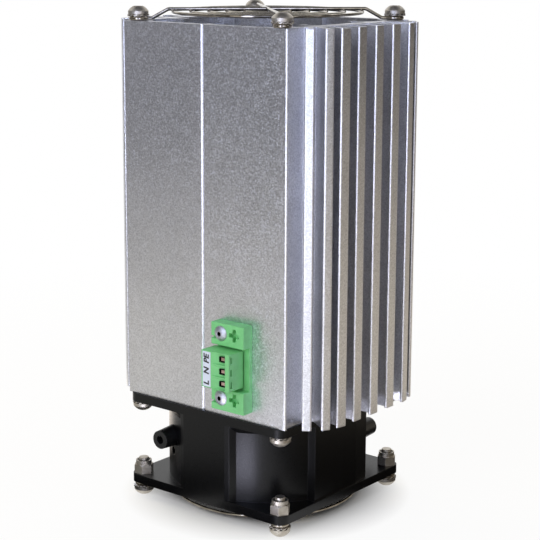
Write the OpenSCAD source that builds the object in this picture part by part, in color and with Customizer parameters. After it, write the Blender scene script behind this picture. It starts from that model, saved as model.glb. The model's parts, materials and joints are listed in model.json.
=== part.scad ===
// Enclosure heater: a finned two-part aluminium duct with heating elements inside,
// blown through from below by a square axial fan. Units are millimetres, +Z is up,
// the front (terminal side) faces -Y, and the origin lies on the fan axis at the
// plane that the lowest screw heads stand on.

/* [Body] */
// Length of the two extruded shells
body_h = 150; // [110:1:200]
// Thickness of the flat front and back walls
wall_t = 3; // [2.5:0.1:3.5]
// Radius of the rounded edges along the seam
edge_r = 1; // [0.6:0.1:1.4]
// Thickness of the round lip along the outer edges
lip_t = 1.5; // [1.2:0.1:2]

/* [Fins] */
// How far the fin tips stand out from the finned wall
fin_reach = 12.5; // [10:0.5:15]
// Thickness of a fin's web
web_t = 1.5; // [1.2:0.1:1.8]
// Width of the head on the straight fins
head_w = 5; // [4:0.1:5.6]
// Thickness of a fin's head
head_t = 1.4; // [1.2:0.1:1.8]

/* [Fan] */
// Side of the fan's square flanges
fan_w = 80; // [76:0.5:86]
// Height of the fan over both flanges
fan_h = 38; // [36:0.5:44]
// Thickness of a flange
flange_t = 3.5; // [3:0.1:4.2]
// Number of blades
blade_count = 5; // [4:1:6]

/* [Guards] */
// Diameter of the guard's rods
rod_d = 1.4; // [1.2:0.1:1.6]
// Diameter of the guard's rings
ring_d = 1.2; // [1:0.1:1.4]
// Height of the rods' middle above the face that the guard is screwed to
guard_rise = 4.3; // [3.8:0.1:4.5]
// Number of rings in a guard
ring_count = 5; // [3:1:5]

/* [Terminal] */
// Pitch of the three poles
pole_pitch = 4.8; // [4.6:0.02:5.2]
// Height of the terminal's lower edge above the lower end of the shells
terminal_lift = 4; // [3:0.5:30]

/* [Hidden] */
$fn = 64;
eps = 0.05;

// Fasteners: M4 through the flanges, M3 at the terminal
screw_r = 1.95;
tap_r = 2;
through_r = 2.25;
head_r = 4;
head_h = 3.1;
head_edge_h = 1.2;
head_flat_r = 1.9;
cross_w = 0.9;
cross_span = 4.2;
cross_depth = 1.6;
washer_t = 0.9;
washer_r = 4.2;
washer_bore_r = 2.1;
tooth_count = 12;
tooth_gap_w = 0.7;
tooth_gap_d = 0.8;
nut_af = 7;
nut_hex_h = 3.8;
nut_h = 5.4;
nut_collar_r = 3.2;
nut_chamfer = 0.5;
nut_insert_r = 2.7;
nut_insert_h = 1.2;
nut_insert_sink = 0.2;
bolt_proud = 1.1;
shell_thread = 10;

// Levels, from the standing plane up
eye_d = rod_d + 0.1;
stack_h = eye_d + washer_t + head_h;
fan_z = stack_h;
body_z = fan_z + fan_h;
body_top = body_z + body_h;

// Plan of the fan and the shells
hole_inset = 4.25;
boss_r = 5.5;
lip_step = 1.3;
base_step = 1;
side_wall_t = 2.7;
fan_half = fan_w / 2;
hole_at = fan_half - hole_inset;
hole_reach = hole_at * sqrt(2);
front_half_w = fan_half + 0.5;
body_half_d = fan_half - 1;
side_x = front_half_w - lip_step;
base_x = front_half_w + base_step;
duct_half_x = side_x - side_wall_t;
duct_half_y = body_half_d - wall_t;
duct_r = hole_reach - boss_r;
seam_rib_w = 1.6;
seam_rib_d = 2.4;

// The fan-shaped row of fins, one entry per fin from the middle outwards
fin_turn = [0, 0, 12, 31, 55];
fin_root = [0, 0.282, 0.473, 0.554, 0.641];
fin_length = [1, 1, 1.02, 0.98, 0.8];
fin_head = [1, 1, 0.92, 0.74, 0.74];
fin_sink = 1;
base_half = fin_root[len(fin_root) - 1] * body_half_d + fin_sink;

// Channels and heating elements on the inner side walls
element_w = 32;
element_t = 6;
element_wall = 1;
element_end = 12;
channel_t = 1.6;
channel_lip = 2.4;
channel_play = 0.1;
stone_count = 5;
stone_w = 24;
stone_gap = 1;
stone_end = 2;

// Fan frame
frame_r = fan_half;
frame_wall_t = 1.8;
bore_r = frame_r - frame_wall_t;
bore_flare = 1.2;
corner_r = 4.2;
collar_w = 2.1;
collar_h = 3;
collar_sink = 0.3;
pad_from = -11.9;
pad_to = 13.3;
pad_bevel = 2;
pad_bevel_d = 0.5;
pad_draft = 2.2;
pad_foot = frame_r - 3.7;
side_pad_x = fan_half - 0.8;
side_pad_from = -18.2;
side_pad_mid = 0;
ridge_x = fan_half - 0.6;
ridge_at = 8.5;
ridge_end_x = fan_half - 2;
ridge_to = 17.5;
strut_w = 3.2;
strut_h = 4;
strut_lift = 0.6;
plate_r = 18.5;
tube_r = 6.5;
bearing_r = 5;
bearing_h = 5;
shaft_r = 2;
running = 0.03;
lead_hole_r = 1.6;
lead_hole_drop = 6.5;

// Motor and impeller, levels above the fan's lower face
cup_from = 7.5;
cup_top_gap = 5;
cup_to = fan_h - cup_top_gap;
cup_r = 19;
cup_t = 1.4;
rotor_t = 1.6;
core_r = 15;
core_from = 11;
core_h = 9;
coil_r = 13.6;
coil_h = 4;
tube_end_gap = 5;
tube_to = cup_to - tube_end_gap;
tip_gap = 0.8;
blade_t = 1.5;
blade_chord = 30;
blade_camber_r = 34;
blade_pitch = 38;

// Guards: rings welded under the rods, rods sloping down to the screw eyes
guard_inset = 2.8;
guard_r = fan_half - guard_inset;
guard_inner_r = 9.1;
guard_slope = 29;
knee_room = 1;
weld_sink = 0.25;
eye_play = 0.15;

// Bushings on the frame's corner walls
front_bush = [20.4, 22.2]; // distance from the middle, height above the fan's lower face
rear_bush = [22.2, 15.5];
bush_proud = 2.4;
bush_base_r = 4.4;
bush_end_r = 3.7;
bush_end_y = fan_half + bush_proud;
bush_sink = 0.2;
bush_bore_r = 1.7;
bush_bore_depth = 4;

// Terminal header, plug and their openings
header_x = 8.6;
header_w = 16.1;
header_d = 5.4;
header_seat_d = 1.8;
header_end = 10;
seat_room = 1.3;
header_h = 3 * pole_pitch + 2 * header_end;
seat_h = 3 * pole_pitch + 2 * seat_room;
header_z = body_z + terminal_lift;
header_mid = header_z + header_h / 2;
cutout_w = 11;
cutout_h = 3 * pole_pitch + 1;
cutout_play = 0.15;
tail_d = 6;
flange_screw_in = 4.9;
flange_screw_out = 5.5;
flange_screw_x = header_x + flange_screw_in;
flange_screw_off = 3 * pole_pitch / 2 + flange_screw_out;
flange_screw_rise = 0.5;
flange_head_r = 3;
flange_head_h = 1.5;
flange_screw_r = 1.45;
flange_tap_r = 1.5;
flange_socket_r = 1.2;
flange_socket_d = 1;
slit_w = 0.8;
slit_d = 1.5;
slit_drop = 1.9;
cross_cut = 5;
cross_cut_w = 1.5;
cross_cut_d = 2;
cross_cut_in = 11.5;
cross_cut_x = header_x + cross_cut_in;
plug_x = header_x - 0.2;
plug_w = 13.7;
plug_d = 8.3;
plug_gap = 0.7;
plug_h = 3 * pole_pitch + 0.1;
plug_y = -body_half_d - header_seat_d - plug_gap - plug_d;
spigot_x = plug_x + 2;
spigot_w = 9;
spigot_h = plug_h - 2;
spigot_d = 1.3;
spigot_play = 0.1;
pin_x = spigot_x + spigot_w / 2;
pin_r = 0.5;
pin_proud = 1;
label_x = plug_x + 0.6;
label_w = 4;
label_h = plug_h - 0.8;
label_t = 0.4;
cell_x = label_x + label_w + 0.3;
cell_w = 6.6;
cell_h = pole_pitch - 0.6;
cell_depth = 1.5;
entry_w = 3;
entry_h = 2.2;
entry_x = cell_x + cell_w - entry_w;
entry_depth = 6;
contact_w = 1.6;
contact_d = 3.4;
contact_h = 1.4;
notch_d = 1;
notch_from = 1;
notch_w = 0.7;
notch_h = 2.6;

// Colours
alloy = "#b9b8b6";
plain_alloy = "#c9c9c6";
steel = "#c8c4ba";
black_paint = "#232324";
black_rubber = "#161617";
copper = "#b0703c";
ceramic = "#5b5753";
green = "#79c987";
tin = "#b8b6ae";
pale = "#dfe8e2";
nylon = "#e6e4dc";

// Repeats its children on the four corner holes
module at_holes() {
    for (x = [-hole_at, hole_at], y = [-hole_at, hole_at])
        translate([x, y, 0]) children();
}

// What is left of a square corner outside a quarter circle
module corner_waste(r) {
    difference() {
        translate([-eps, -eps]) square(r + eps);
        translate([r, r]) circle(r);
    }
}

// A fin lying along +X from its root: a web with a round-ended head
module fin_2d(reach, width) {
    translate([0, -web_t / 2]) square([reach - head_t / 2, web_t]);
    translate([reach - head_t, -width / 2 + head_t / 2]) square([head_t, width - head_t]);
    for (side = [-1, 1])
        translate([reach - head_t / 2, side * (width - head_t) / 2]) circle(head_t / 2);
}

// All fins of one side, spreading towards both corners
module fin_row_2d() {
    for (i = [0 : len(fin_turn) - 1], side = (i == 0) ? [1] : [-1, 1])
        translate([base_x - fin_sink, side * fin_root[i] * body_half_d])
            rotate(side * fin_turn[i])
                fin_2d((fin_reach + fin_sink) * fin_length[i], head_w * fin_head[i]);
}

// Channel that holds a heating element against the side wall
module channel_2d() {
    for (side = [-1, 1]) {
        inner = element_w / 2 + channel_play;
        translate([duct_half_x - element_t - channel_play - channel_t, 0]) {
            translate([0, (side > 0) ? inner : -inner - channel_t])
                square([element_t + channel_play + channel_t + 1, channel_t]);
            translate([0, (side > 0) ? inner - channel_lip : -inner - channel_t])
                square([channel_t, channel_lip + channel_t]);
        }
    }
}

// Section of the right-hand shell, from the seam outwards
module shell_2d() {
    difference() {
        union() {
            translate([0, -body_half_d]) square([side_x, 2 * body_half_d]);
            for (side = [-1, 1]) translate([0, side * (body_half_d - lip_t / 2)]) {
                translate([0, -lip_t / 2]) square([front_half_w - lip_t / 2, lip_t]);
                translate([front_half_w - lip_t / 2, 0]) circle(lip_t / 2);
            }
            translate([0, -base_half]) square([base_x, 2 * base_half]);
            fin_row_2d();
        }
        intersection() {
            translate([-1, -duct_half_y]) square([duct_half_x + 1, 2 * duct_half_y]);
            circle(duct_r);
        }
        for (side = [-1, 1]) {
            translate([hole_at, side * hole_at]) circle(tap_r);
            translate([0, side * body_half_d]) mirror([0, (side > 0) ? 1 : 0])
                corner_waste(edge_r);
        }
    }
    for (side = [-1, 1])
        translate([0, (side > 0) ? duct_half_y - seam_rib_d : -duct_half_y - eps])
            square([seam_rib_w, seam_rib_d + eps]);
    channel_2d();
}

module shell() {
    translate([0, 0, body_z]) linear_extrude(body_h) shell_2d();
}

module right_shell() {
    color(alloy) difference() {
        shell();
        translate([flange_cut_x(), -body_half_d - 1, header_mid - cutout_h / 2])
            cube([cutout_w, wall_t + 2, cutout_h]);
        for (side = [-1, 1])
            translate([flange_screw_x, -body_half_d - 1, flange_screw_z(side)])
                rotate([-90, 0, 0]) cylinder(r = flange_tap_r, h = wall_t + 2);
    }
}

module left_shell() {
    color(alloy) mirror([1, 0, 0]) shell();
}

// Left edge of the opening in the front wall behind the terminal
function flange_cut_x() = header_x + (header_w - cutout_w) / 2;

// Flat tube that holds a row of heating stones, touching the side wall
module heater_sleeve() {
    translate([duct_half_x - element_t, -element_w / 2, body_z + element_end])
        difference() {
            cube([element_t, element_w, body_h - 2 * element_end]);
            translate([element_wall, element_wall, -1])
                cube([element_t - 2 * element_wall, element_w - 2 * element_wall,
                    body_h - 2 * element_end + 2]);
        }
}

module ptc_stones() {
    room = body_h - 2 * element_end - 2 * stone_end;
    stone_h = (room - (stone_count - 1) * stone_gap) / stone_count;
    for (i = [0 : stone_count - 1])
        translate([duct_half_x - element_t + element_wall, -stone_w / 2,
            body_z + element_end + stone_end + i * (stone_h + stone_gap)])
            cube([element_t - 2 * element_wall, stone_w, stone_h]);
}

module heater_sleeve_right() { color(plain_alloy) heater_sleeve(); }
module heater_sleeve_left() { color(plain_alloy) mirror([1, 0, 0]) heater_sleeve(); }
module ptc_stones_right() { color(ceramic) ptc_stones(); }
module ptc_stones_left() { color(ceramic) mirror([1, 0, 0]) ptc_stones(); }

// Square flange with round corners
module flange_2d() {
    square([fan_w, fan_w - 2 * corner_r], center = true);
    square([fan_w - 2 * corner_r, fan_w], center = true);
    for (x = [-1, 1], y = [-1, 1])
        translate([x * (fan_half - corner_r), y * (fan_half - corner_r)]) circle(corner_r);
}

// Section of the frame between the flanges: round wall with flat pads on its sides,
// the right one with a slight ridge towards the back
module frame_wall_2d() {
    intersection() {
        circle(frame_r);
        square([2 * side_pad_x, fan_w + 2], center = true);
    }
    for (turn = [0, 180]) rotate(turn) {
        polygon([[pad_from - pad_draft, -pad_foot], [pad_from, pad_bevel_d - fan_half],
            [pad_from + pad_bevel, -fan_half], [pad_to - pad_bevel, -fan_half],
            [pad_to, pad_bevel_d - fan_half], [pad_to + pad_draft, -pad_foot]]);
        polygon([[0, side_pad_from], [side_pad_x, side_pad_from],
            [side_pad_x, side_pad_mid], [0, side_pad_mid]]);
    }
    polygon([[0, side_pad_mid - 1], [side_pad_x, side_pad_mid - 1], [side_pad_x, side_pad_mid],
        [ridge_x, ridge_at], [ridge_end_x, ridge_to], [0, ridge_to]]);
}

// Sloping collar between the round wall and the upper flange
module frame_collar() {
    slope = collar_w / collar_h;
    foot_h = collar_h + collar_sink / slope;
    intersection() {
        translate([0, 0, fan_h - flange_t - foot_h])
            cylinder(r1 = frame_r - collar_sink, r2 = frame_r + collar_w, h = foot_h + eps);
        translate([0, 0, fan_h / 2]) cube([2 * side_pad_x, 2 * side_pad_x, fan_h - 1], center = true);
    }
}

// Hole for a lead below a bushing
module lead_hole(place) {
    translate([-place[0], 0, place[1] - lead_hole_drop]) rotate([90, 0, 0])
        cylinder(r = lead_hole_r, h = fan_w);
}

module fan_frame() {
    color(black_paint) translate([0, 0, fan_z]) {
        difference() {
            union() {
                linear_extrude(flange_t) flange_2d();
                translate([0, 0, fan_h - flange_t]) linear_extrude(flange_t) flange_2d();
                linear_extrude(fan_h) frame_wall_2d();
                frame_collar();
            }
            translate([0, 0, -1]) cylinder(r = bore_r, h = fan_h + 2);
            translate([0, 0, -eps]) cylinder(r1 = bore_r + bore_flare, r2 = bore_r, h = 2 * bore_flare);
            at_holes() translate([0, 0, -1]) cylinder(r = through_r, h = fan_h + 2);
            lead_hole(front_bush);
            rotate(180) lead_hole(rear_bush);
        }
        translate([0, 0, strut_lift]) {
            difference() {
                for (turn = [0 : 90 : 270]) rotate(turn)
                    translate([0, -strut_w / 2, 0]) cube([bore_r + 1, strut_w, strut_h]);
                translate([0, 0, -1]) cylinder(r = bearing_r, h = strut_h + 2);
            }
            difference() {
                union() {
                    cylinder(r = plate_r, h = strut_h);
                    cylinder(r = tube_r, h = tube_to - strut_lift);
                }
                translate([0, 0, strut_h / 2]) cylinder(r = bearing_r, h = fan_h);
            }
        }
    }
}

module stator_core() {
    color(steel) translate([0, 0, fan_z + core_from]) difference() {
        cylinder(r = core_r, h = core_h);
        translate([0, 0, -1]) cylinder(r = tube_r, h = core_h + 2);
    }
}

module stator_coils() {
    color(copper)
        for (z = [core_from - coil_h, core_from + core_h])
            translate([0, 0, fan_z + z]) difference() {
                cylinder(r = coil_r, h = coil_h);
                translate([0, 0, -1]) cylinder(r = tube_r, h = coil_h + 2);
            }
}

module fan_bearings() {
    color(steel)
        for (z = [strut_lift + strut_h / 2, tube_to - bearing_h])
            translate([0, 0, fan_z + z]) difference() {
                cylinder(r = bearing_r, h = bearing_h);
                translate([0, 0, -1]) cylinder(r = shaft_r + running, h = bearing_h + 2);
            }
}

// Curved section of a blade, seen along its radius
module blade_2d() {
    drop = sqrt(blade_camber_r * blade_camber_r - blade_chord * blade_chord / 4);
    rotate(blade_pitch) intersection() {
        translate([0, -drop]) difference() {
            circle(blade_camber_r);
            circle(blade_camber_r - blade_t);
        }
        translate([-blade_chord / 2, -blade_t]) square([blade_chord, blade_chord / 2]);
    }
}

module fan_impeller() {
    cup_h = cup_to - cup_from;
    color(black_paint) translate([0, 0, fan_z + cup_from]) {
        difference() {
            cylinder(r = cup_r, h = cup_h);
            translate([0, 0, -1]) cylinder(r = cup_r - cup_t, h = cup_h - cup_t + 1);
            cylinder(r = shaft_r, h = cup_h + 1);
        }
        difference() {
            intersection() {
                for (i = [0 : blade_count - 1]) rotate(i * 360 / blade_count)
                    translate([cup_r - cup_t / 2, 0, cup_h / 2]) rotate([90, 0, 90])
                        linear_extrude(fan_half) blade_2d();
                cylinder(r = bore_r - tip_gap, h = cup_h);
            }
            cylinder(r = cup_r - cup_t / 2, h = 3 * cup_h, center = true);
        }
    }
}

module rotor_ring() {
    color(steel) translate([0, 0, fan_z + cup_from]) difference() {
        cylinder(r = cup_r - cup_t, h = cup_to - cup_from - cup_t);
        translate([0, 0, -1]) cylinder(r = cup_r - cup_t - rotor_t, h = fan_h);
    }
}

module fan_shaft() {
    from = strut_lift + strut_h / 2 + 1;
    color(steel) translate([0, 0, fan_z + from]) cylinder(r = shaft_r, h = cup_to - from);
}

// Tapered bushing that stands on the frame's round wall and points to the front
module bushing(place) {
    seat_y = sqrt(frame_r * frame_r - pow(place[0] + bush_base_r, 2)) - bush_sink;
    translate([-place[0], -bush_end_y, fan_z + place[1]]) rotate([-90, 0, 0]) difference() {
        cylinder(r1 = bush_end_r, r2 = bush_base_r, h = bush_end_y - seat_y);
        translate([0, 0, -eps]) cylinder(r = bush_bore_r, h = bush_bore_depth);
        rotate([90, 0, 0]) translate([place[0], bush_end_y, -fan_half]) cylinder(r = frame_r, h = fan_w);
    }
}

module front_bushing() { color(black_rubber) bushing(front_bush); }
module rear_bushing() { color(black_rubber) rotate(180) bushing(rear_bush); }

// Straight length of rod between two points of a rod's upright plane
module rod(from, to) {
    run = to - from;
    translate([from[0], 0, from[1]]) rotate([0, 90 - atan2(run[1], run[0]), 0])
        cylinder(d = rod_d, h = norm(run));
}

// Wire guard standing on its screw eyes: crossed rods above welded rings
module guard() {
    eye_r = eye_d / 2 + tap_r + eye_play;
    foot_z = eye_d / 2;
    knee_at = hole_reach - washer_r - knee_room;
    bend_at = knee_at - (guard_rise - foot_z) / tan(guard_slope);
    for (turn = [45, 135]) rotate(turn) rod([-bend_at, guard_rise], [bend_at, guard_rise]);
    for (turn = [45 : 90 : 315]) rotate(turn) {
        translate([bend_at, 0, guard_rise]) sphere(d = eye_d);
        rod([bend_at, guard_rise], [knee_at, foot_z]);
        translate([knee_at, 0, foot_z]) sphere(d = eye_d);
        rod([knee_at, foot_z], [hole_reach - eye_r, foot_z]);
        translate([hole_reach, 0, foot_z])
            rotate_extrude() translate([eye_r, 0]) circle(d = eye_d);
    }
    step = (guard_r - guard_inner_r) / (ring_count - 1);
    for (i = [0 : ring_count - 1])
        translate([0, 0, guard_rise - (rod_d + ring_d) / 2 + weld_sink])
            rotate_extrude() translate([guard_r - i * step, 0]) circle(d = ring_d);
}

module top_guard() { color(steel) translate([0, 0, body_top]) guard(); }
module bottom_guard() { color(steel) translate([0, 0, fan_z]) mirror([0, 0, 1]) guard(); }

// Pan head screw: bearing face at zero, head above, shank below
module pan_screw(shank) {
    low = (head_flat_r * head_flat_r - head_r * head_r
        + head_h * head_h - head_edge_h * head_edge_h) / (2 * (head_h - head_edge_h));
    dome_r = norm([head_flat_r, head_h - low]);
    difference() {
        intersection() {
            cylinder(r = head_r, h = head_h);
            translate([0, 0, low]) sphere(dome_r);
        }
        for (turn = [0, 90]) rotate(turn)
            translate([-cross_span / 2, -cross_w / 2, head_h - cross_depth])
                cube([cross_span, cross_w, cross_depth + 1]);
    }
    translate([0, 0, -shank]) cylinder(r = screw_r, h = shank + eps);
}

// Toothed lock washer lying on zero
module lock_washer() {
    linear_extrude(washer_t) difference() {
        circle(washer_r);
        circle(washer_bore_r);
        for (i = [0 : tooth_count - 1]) rotate(i * 360 / tooth_count)
            translate([washer_r - tooth_gap_d, -tooth_gap_w / 2]) square([2, tooth_gap_w]);
    }
}

module top_screws() {
    color(steel) at_holes() translate([0, 0, body_top + eye_d + washer_t])
        pan_screw(shell_thread + eye_d + washer_t);
}

module top_lock_washers() {
    color(steel) at_holes() translate([0, 0, body_top + eye_d]) lock_washer();
}

module fan_screws() {
    color(steel) at_holes() translate([0, 0, body_z - flange_t - washer_t]) mirror([0, 0, 1])
        pan_screw(shell_thread + flange_t + washer_t);
}

module fan_lock_washers() {
    color(steel) at_holes() translate([0, 0, body_z - flange_t - washer_t]) lock_washer();
}

module bottom_screws() {
    color(steel) at_holes() translate([0, 0, head_h]) mirror([0, 0, 1])
        pan_screw(washer_t + eye_d + flange_t + nut_h + bolt_proud);
}

module bottom_lock_washers() {
    color(steel) at_holes() translate([0, 0, head_h]) lock_washer();
}

// Hexagon locknut with a round collar that holds a plastic ring
module locknuts() {
    corner = nut_af / cos(30) / 2;
    color(steel) at_holes() translate([0, 0, fan_z + flange_t]) difference() {
        union() {
            intersection() {
                cylinder(r = corner, h = nut_hex_h, $fn = 6);
                cylinder(r1 = corner - nut_chamfer + nut_hex_h, r2 = corner - nut_chamfer, h = nut_hex_h);
            }
            cylinder(r = nut_collar_r, h = nut_h);
        }
        translate([0, 0, -1]) cylinder(r = tap_r, h = nut_h + 2);
        translate([0, 0, nut_h - nut_insert_h]) cylinder(r = nut_insert_r, h = nut_insert_h + 1);
    }
}

module locknut_inserts() {
    color(nylon) at_holes() translate([0, 0, fan_z + flange_t + nut_h - nut_insert_h])
        difference() {
            cylinder(r = nut_insert_r, h = nut_insert_h - nut_insert_sink);
            translate([0, 0, -1]) cylinder(r = tap_r, h = nut_insert_h + 2);
        }
}

// Height of a pole's middle, from the lowest pole up
function pole_z(i) = header_mid + (i - 1) * pole_pitch;

// Height of a flange screw's axis: -1 is the lower one, 1 the upper one
function flange_screw_z(side) = header_mid + side * flange_screw_off + flange_screw_rise;

// Panel header: a flanged block on the front wall, cut back where the plug sits,
// with its tail through the opening
module terminal_header() {
    color(green) difference() {
        union() {
            translate([header_x, -body_half_d - header_d, header_z])
                cube([header_w, header_d, header_h]);
            translate([flange_cut_x() + cutout_play, -body_half_d - eps,
                header_mid - cutout_h / 2 + cutout_play])
                cube([cutout_w - 2 * cutout_play, tail_d, cutout_h - 2 * cutout_play]);
        }
        translate([header_x - 1, -body_half_d - header_d - 1, header_mid - seat_h / 2])
            cube([header_w + 2, header_d - header_seat_d + 1, seat_h]);
        translate([spigot_x - spigot_play, -body_half_d - header_seat_d - 1,
            header_mid - spigot_h / 2 - spigot_play])
            cube([spigot_w + 2 * spigot_play, spigot_d + spigot_play + 1, spigot_h + 2 * spigot_play]);
        for (i = [0 : 2])
            translate([pin_x, -body_half_d - header_seat_d, pole_z(i)])
                rotate([-90, 0, 0]) cylinder(r = pin_r, h = header_seat_d + tail_d + 1);
        for (side = [-1, 1]) {
            z = flange_screw_z(side);
            translate([flange_screw_x, -body_half_d - header_d - 1, z])
                rotate([-90, 0, 0]) cylinder(r = flange_tap_r, h = header_d + 2);
            translate([header_x - 1, -body_half_d - header_d - 1, z - slit_drop - slit_w / 2])
                cube([flange_screw_x - header_x + 1, slit_d + 1, slit_w]);
            for (across = [0, 90])
                translate([cross_cut_x, -body_half_d - header_d, z]) rotate([0, across, 0])
                    cube([cross_cut, 2 * cross_cut_d, cross_cut_w], center = true);
        }
    }
}

// Contact pins of the header, behind the plug's spigot
module header_pins() {
    color(tin) for (i = [0 : 2])
        translate([pin_x, -body_half_d - header_seat_d + spigot_d, pole_z(i)])
            rotate([-90, 0, 0]) cylinder(r = pin_r, h = header_seat_d + tail_d + pin_proud - spigot_d);
}

// Plug with three wire entries in sloping cells, seated on the header
module terminal_plug() {
    color(green) difference() {
        union() {
            translate([plug_x, plug_y, header_mid - plug_h / 2]) cube([plug_w, plug_d, plug_h]);
            translate([spigot_x, plug_y + plug_d - eps, header_mid - spigot_h / 2])
                cube([spigot_w, plug_gap + spigot_d + eps, spigot_h]);
        }
        translate([label_x, plug_y - 1, header_mid - label_h / 2])
            cube([label_w, label_t + 1, label_h]);
        for (i = [0 : 2]) {
            translate([cell_x, plug_y, pole_z(i) - cell_h / 2])
                rotate([0, 0, atan(cell_depth / cell_w)]) translate([0, -cell_depth * 2, 0])
                    cube([cell_w, cell_depth * 2, cell_h]);
            translate([entry_x, plug_y - 1, pole_z(i) - entry_h / 2])
                cube([entry_w, entry_depth + 1, entry_h]);
            translate([plug_x + plug_w - notch_d, plug_y + notch_from, pole_z(i) - notch_h / 2])
                cube([notch_d + 1, notch_w, notch_h]);
        }
    }
}

// Spring contacts standing on the bottom of the wire entries
module terminal_contacts() {
    color(tin) for (i = [0 : 2])
        translate([entry_x + entry_w - contact_w, plug_y + entry_depth - contact_d,
            pole_z(i) - contact_h / 2])
            cube([contact_w, contact_d, contact_h]);
}

// Marking strip set flush into the plug's face
module terminal_label() {
    color(pale) translate([label_x, plug_y, header_mid - label_h / 2])
        cube([label_w, label_t, label_h]);
}

// Round-headed screws that hold the header to the front wall
module terminal_screws() {
    dome_r = (flange_head_r * flange_head_r + flange_head_h * flange_head_h) / (2 * flange_head_h);
    color(steel) for (side = [-1, 1])
        translate([flange_screw_x, -body_half_d - header_d, flange_screw_z(side)])
            rotate([90, 0, 0]) {
                difference() {
                    intersection() {
                        translate([0, 0, flange_head_h - dome_r]) sphere(dome_r);
                        cylinder(r = flange_head_r + 1, h = flange_head_h);
                    }
                    translate([0, 0, flange_head_h - flange_socket_d])
                        cylinder(r = flange_socket_r, h = flange_socket_d + 1, $fn = 6);
                }
                translate([0, 0, -header_d - wall_t]) cylinder(r = flange_screw_r,
                    h = header_d + wall_t + eps);
            }
}

right_shell();
left_shell();
heater_sleeve_right();
heater_sleeve_left();
ptc_stones_right();
ptc_stones_left();
fan_frame();
stator_core();
stator_coils();
fan_bearings();
fan_impeller();
rotor_ring();
fan_shaft();
front_bushing();
rear_bushing();
top_guard();
bottom_guard();
terminal_header();
terminal_plug();
terminal_contacts();
header_pins();
terminal_label();
terminal_screws();
top_screws();
top_lock_washers();
fan_screws();
fan_lock_washers();
bottom_screws();
bottom_lock_washers();
locknuts();
locknut_inserts();
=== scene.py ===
import bpy
import bmesh
import json
import math
from mathutils import Matrix, Vector


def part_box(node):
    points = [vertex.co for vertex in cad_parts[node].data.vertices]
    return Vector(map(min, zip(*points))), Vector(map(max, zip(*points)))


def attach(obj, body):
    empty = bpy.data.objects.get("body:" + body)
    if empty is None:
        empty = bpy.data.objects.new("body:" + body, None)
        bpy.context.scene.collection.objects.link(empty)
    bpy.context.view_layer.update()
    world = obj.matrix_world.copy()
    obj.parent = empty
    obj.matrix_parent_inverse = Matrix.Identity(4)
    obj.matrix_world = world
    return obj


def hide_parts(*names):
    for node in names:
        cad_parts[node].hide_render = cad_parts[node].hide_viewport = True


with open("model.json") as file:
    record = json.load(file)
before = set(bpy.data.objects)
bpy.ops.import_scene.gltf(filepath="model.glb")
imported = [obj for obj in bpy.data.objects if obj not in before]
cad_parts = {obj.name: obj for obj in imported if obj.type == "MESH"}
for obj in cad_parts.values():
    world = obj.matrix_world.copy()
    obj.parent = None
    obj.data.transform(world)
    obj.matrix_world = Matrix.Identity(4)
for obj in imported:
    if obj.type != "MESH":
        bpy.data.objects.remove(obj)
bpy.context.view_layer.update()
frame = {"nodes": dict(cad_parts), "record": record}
scene = bpy.context.scene
scene.view_settings.view_transform = "Standard"
mm = 0.001
nodes = frame["nodes"]
print("frame loaded:", len(nodes), "nodes")


def linear(hexCode):  # sRGB hex to the linear colour that the sockets take
    parts = [int(hexCode[i:i + 2], 16) / 255 for i in (1, 3, 5)]
    return tuple(c / 12.92 if c <= 0.04045 else ((c + 0.055) / 1.055) ** 2.4 for c in parts) + (1,)


# Mix takes its share at 0, numbers at 2 and 3, colours at 6 and 7; Map Range goes from 1 and 2 to 3 and 4
def put(tree, kind, values=None, links=None, **settings):  # one node with its settings, values and links
    node = tree.nodes.new(kind)
    for name, value in settings.items():
        setattr(node, name, value)
    for socket, value in (values or {}).items():
        node.inputs[socket].default_value = value
    for socket, source in (links or {}).items():
        for end in source if isinstance(source, list) else [source]:
            tree.links.new(end, node.inputs[socket])
    return node


def emptyTree(owner):  # node tree of a material or world, cleared
    owner.use_nodes = True
    owner.node_tree.nodes.clear()
    return owner.node_tree


def startMaterial(name):  # empty material with its shader and the object's own coordinates
    material = bpy.data.materials.new(name)
    tree = emptyTree(material)
    shader = put(tree, "ShaderNodeBsdfPrincipled")
    put(tree, "ShaderNodeOutputMaterial", links={"Surface": shader.outputs["BSDF"]})
    return material, tree, shader, put(tree, "ShaderNodeTexCoord").outputs


def finishSkin(tree, shader, colour, rough, height, cfg):  # soft edges, relief and the shader's links
    edge = put(tree, "ShaderNodeBevel", {"Radius": cfg["edge"] * mm}, samples=4).outputs["Normal"]
    bump = put(tree, "ShaderNodeBump", {"Strength": cfg["relief"], "Distance": cfg["depth"] * mm},
               {"Height": height, "Normal": edge})
    for socket, source in (("Base Color", colour), ("Roughness", rough), ("Normal", bump.outputs["Normal"])):
        tree.links.new(source, shader.inputs[socket])


def perMetre(sizeMm):  # texture scale for a grain of that size
    return 1 / (sizeMm * mm)


noiseSpan = (0.3, 0.7)  # most of a noise texture lies between these


# Camera, fitted to the photograph's corners and edges
cameraSet = {
    "eye": (0.37791, -0.46799, 0.22753),
    "turn": 38.806,
    "tilt": 10.983,
    "roll": 0.217,
    "lens": 101.447,
    "sensor": 36,
    "shiftY": -0.08,
    "near": 0.01,
}


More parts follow.
